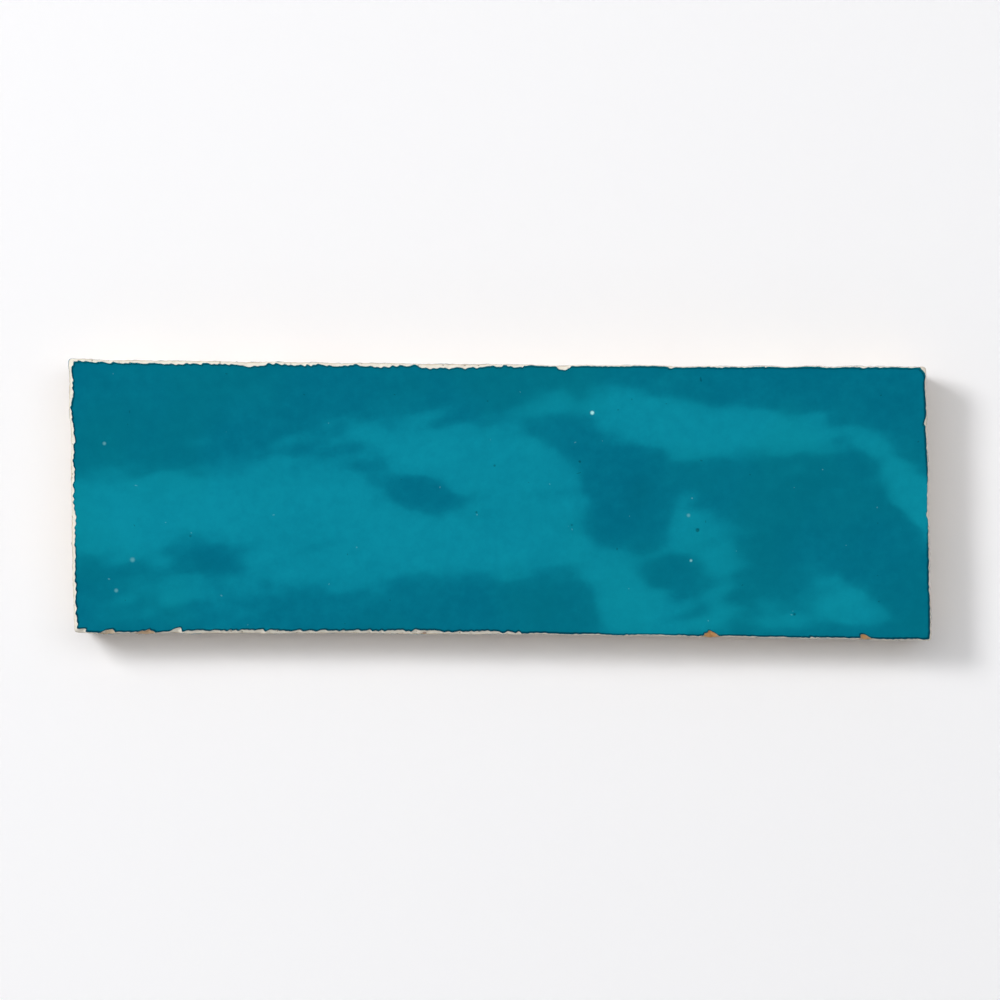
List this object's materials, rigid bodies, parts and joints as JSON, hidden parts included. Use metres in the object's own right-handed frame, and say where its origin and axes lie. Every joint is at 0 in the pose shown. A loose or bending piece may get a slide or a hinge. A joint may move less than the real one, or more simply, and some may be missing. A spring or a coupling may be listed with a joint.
{
  "type": "zellige tile",
  "caption": "Long narrow hand-cut zellige wall tile: one fired clay bar with an uneven glossy teal glazed face, chipped arris, undercut sides and a flat unglazed back.",
  "frame": {"origin": "middle of the flat back, on the surface that the tile lies on", "axes": "+X along the length, +Y along the width, +Z out of the glazed face"},
  "size_m": [0.1512, 0.048, 0.0124],
  "materials": {
    "teal_glazed_clay": "glossy hand-dipped teal glaze over pale fired clay, clay bare on the back, the lower sides and the chips"
  },
  "bodies": {
    "root": {"zellige_tile": "teal_glazed_clay"}
  },
  "joints": []
}
